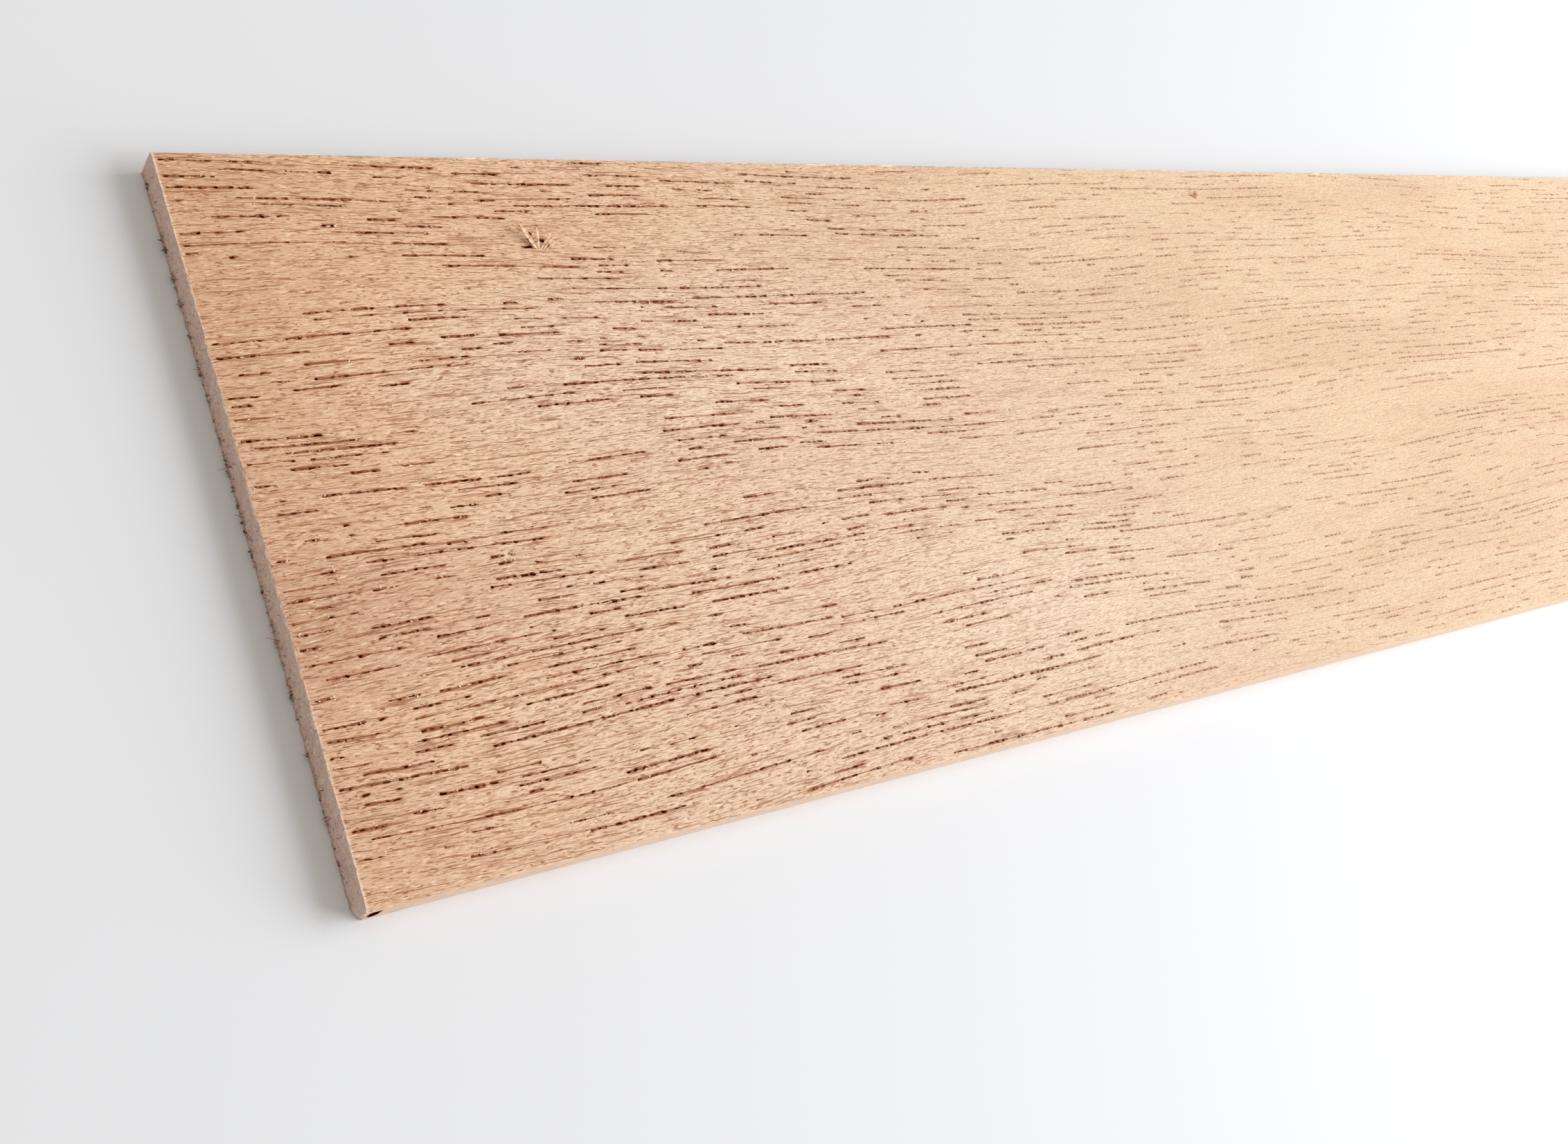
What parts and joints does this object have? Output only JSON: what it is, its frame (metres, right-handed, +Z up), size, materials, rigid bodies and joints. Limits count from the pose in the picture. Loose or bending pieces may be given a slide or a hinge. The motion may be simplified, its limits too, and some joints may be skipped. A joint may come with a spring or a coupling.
{
  "type": "balsa wood sheet",
  "caption": "Flat rectangular sheet of planed balsa with a rough sawn end, open pores and a few lifted splinters: stock for model glider wings.",
  "frame": {"origin": "centre of the sheet's bottom face, which is the face it rests on", "axes": "+X along the grain, away from the rough sawn end; +Y across the sheet, towards its far long edge; +Z up, through the thickness"},
  "size_m": [0.4589, 0.1016, 0.0068],
  "materials": {
    "planed_balsa": "planed and lightly sanded, unfinished, open dark pores along the grain",
    "torn_balsa": "freshly torn pale fibre",
    "sawn_fibre": "fuzzy sawn fibre ends"
  },
  "bodies": {
    "root": {"balsa_sheet": "planed_balsa", "lifted_tuft": "torn_balsa", "small_splinter": "torn_balsa", "far_arris_fibres": "torn_balsa", "sawn_end_burrs": "sawn_fibre"}
  },
  "joints": []
}
